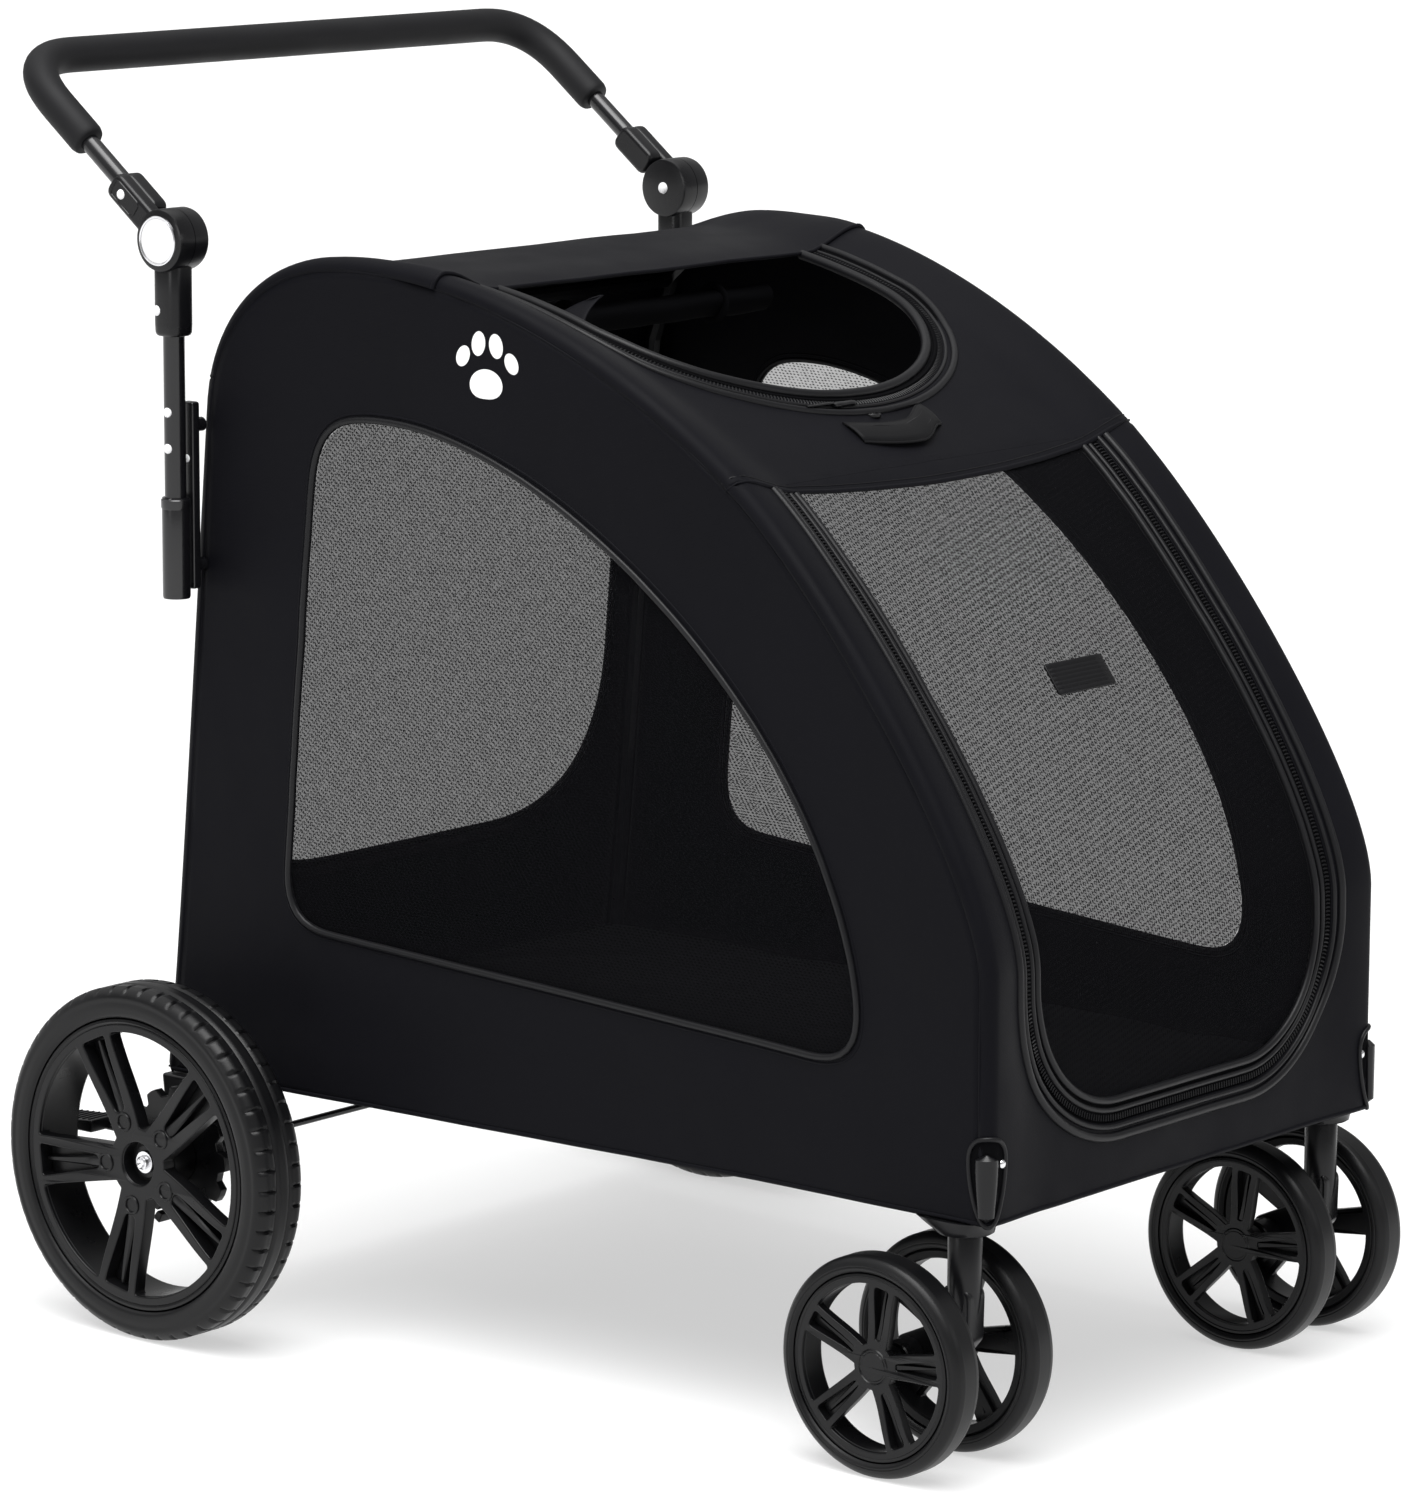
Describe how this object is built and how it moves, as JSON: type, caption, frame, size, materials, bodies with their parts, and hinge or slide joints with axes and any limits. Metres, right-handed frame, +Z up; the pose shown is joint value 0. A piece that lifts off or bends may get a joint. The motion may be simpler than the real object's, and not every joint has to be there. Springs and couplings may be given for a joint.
{
  "type": "pet stroller",
  "caption": "Four-wheeled pet stroller with a tall fabric and netting cabin, open top hatch, tilting and telescoping push handle, foot brake and twin-wheel swivel casters.",
  "frame": {"origin": "on the ground, below the middle of the whole object's length and width", "axes": "+X forwards, towards the casters; +Y to the left; +Z up"},
  "size_m": [1.0046, 0.786, 1.0686],
  "materials": {
    "coated_fabric": "matt black coated oxford weave",
    "mesh_fabric": "black see-through netting",
    "mat_fleece": "dark grey soft pad",
    "floor_board": "dark fibreboard",
    "painted_steel": "semi-gloss black paint",
    "moulded_plastic": "black moulded plastic, fine grain",
    "tyre_rubber": "black solid rubber",
    "grip_foam": "black foam sleeve",
    "chrome_steel": "bright plated steel"
  },
  "bodies": {
    "frame": {"side_panel_right": "coated_fabric", "side_window_right": "mesh_fabric", "side_panel_left": "coated_fabric", "side_window_left": "mesh_fabric", "rear_panel": "coated_fabric", "rear_window": "mesh_fabric", "hatch_panel": "coated_fabric", "hatch_flap_roll": "mesh_fabric", "front_panel": "coated_fabric", "bottom_panel": "coated_fabric", "floor_board": "floor_board", "floor_mat": "mat_fleece", "base_rail_right": "painted_steel", "side_hoop_right": "painted_steel", "base_rail_left": "painted_steel", "side_hoop_left": "painted_steel", "base_rear_tube": "painted_steel", "base_front_tube": "painted_steel", "top_cross_tube": "painted_steel", "front_corner_right": "moulded_plastic", "front_corner_left": "moulded_plastic", "rear_leg_right": "moulded_plastic", "rear_stub_axle_right": "chrome_steel", "rear_leg_left": "moulded_plastic", "rear_stub_axle_left": "chrome_steel", "handle_sleeve_right": "painted_steel", "handle_sleeve_left": "painted_steel"},
    "handle_posts": {"handle_tube_right": "painted_steel", "hinge_lower_right": "moulded_plastic", "hinge_pin_right": "chrome_steel", "handle_tube_left": "painted_steel", "hinge_lower_left": "moulded_plastic", "hinge_pin_left": "chrome_steel"},
    "handle": {"handle_bar": "painted_steel", "foam_grip": "grip_foam", "hinge_upper_right": "moulded_plastic", "hinge_upper_left": "moulded_plastic"},
    "tilt_button_right": {"hinge_button_right": "chrome_steel"},
    "tilt_button_left": {"hinge_button_left": "chrome_steel"},
    "door": {"front_door": "mesh_fabric"},
    "brake": {"brake_rod": "painted_steel", "brake_pedal_right": "moulded_plastic", "brake_pedal_left": "moulded_plastic"},
    "rear_wheel_right": {"rear_tyre_right": "tyre_rubber", "rear_rim_right": "moulded_plastic"},
    "rear_wheel_left": {"rear_tyre_left": "tyre_rubber", "rear_rim_left": "moulded_plastic"},
    "caster_right": {"caster_fork_right": "moulded_plastic", "caster_axle_right": "chrome_steel"},
    "caster_left": {"caster_fork_left": "moulded_plastic", "caster_axle_left": "chrome_steel"},
    "caster_wheel_right_outer": {"caster_tyre_right_outer": "tyre_rubber", "caster_rim_right_outer": "moulded_plastic"},
    "caster_wheel_right_inner": {"caster_tyre_right_inner": "tyre_rubber", "caster_rim_right_inner": "moulded_plastic"},
    "caster_wheel_left_outer": {"caster_tyre_left_outer": "tyre_rubber", "caster_rim_left_outer": "moulded_plastic"},
    "caster_wheel_left_inner": {"caster_tyre_left_inner": "tyre_rubber", "caster_rim_left_inner": "moulded_plastic"}
  },
  "joints": [
    {"name": "handle_height", "type": "slide", "parent": "frame", "child": "handle_posts", "axis": [0, 0, 1], "range_m": [-0.09, 0]},
    {"name": "handle_tilt", "type": "hinge", "parent": "handle_posts", "child": "handle", "pos_m": [-0.30921, 0, 0.915], "axis": [0, 1, 0], "range_deg": [-60, 125]},
    {"name": "tilt_button_right_press", "type": "slide", "parent": "handle", "child": "tilt_button_right", "axis": [0, 1, 0], "range_m": [0, 0.003], "stiffness_N_per_m": 1500},
    {"name": "tilt_button_left_press", "type": "slide", "parent": "handle", "child": "tilt_button_left", "axis": [0, -1, 0], "range_m": [0, 0.003], "stiffness_N_per_m": 1500},
    {"name": "front_door_open", "type": "hinge", "parent": "frame", "child": "door", "pos_m": [0.24939, 0, 0.7415], "axis": [0, -1, 0], "range_deg": [0, 100]},
    {"name": "brake_press", "type": "hinge", "parent": "frame", "child": "brake", "pos_m": [-0.33621, 0, 0.136], "axis": [0, -1, 0], "range_deg": [0, 14]},
    {"name": "rear_wheel_right_spin", "type": "hinge", "parent": "frame", "child": "rear_wheel_right", "pos_m": [-0.29821, -0.366, 0.15], "axis": [0, 1, 0], "continuous": true},
    {"name": "rear_wheel_left_spin", "type": "hinge", "parent": "frame", "child": "rear_wheel_left", "pos_m": [-0.29821, 0.366, 0.15], "axis": [0, 1, 0], "continuous": true},
    {"name": "caster_right_swivel", "type": "hinge", "parent": "frame", "child": "caster_right", "pos_m": [0.45879, -0.243, 0.2], "axis": [0, 0, 1], "continuous": true},
    {"name": "caster_wheel_right_outer_spin", "type": "hinge", "parent": "caster_right", "child": "caster_wheel_right_outer", "pos_m": [0.41379, -0.2905, 0.0885], "axis": [0, 1, 0], "continuous": true},
    {"name": "caster_wheel_right_inner_spin", "type": "hinge", "parent": "caster_right", "child": "caster_wheel_right_inner", "pos_m": [0.41379, -0.1955, 0.0885], "axis": [0, 1, 0], "continuous": true},
    {"name": "caster_left_swivel", "type": "hinge", "parent": "frame", "child": "caster_left", "pos_m": [0.45879, 0.243, 0.2], "axis": [0, 0, 1], "continuous": true},
    {"name": "caster_wheel_left_outer_spin", "type": "hinge", "parent": "caster_left", "child": "caster_wheel_left_outer", "pos_m": [0.41379, 0.2905, 0.0885], "axis": [0, 1, 0], "continuous": true},
    {"name": "caster_wheel_left_inner_spin", "type": "hinge", "parent": "caster_left", "child": "caster_wheel_left_inner", "pos_m": [0.41379, 0.1955, 0.0885], "axis": [0, 1, 0], "continuous": true}
  ]
}
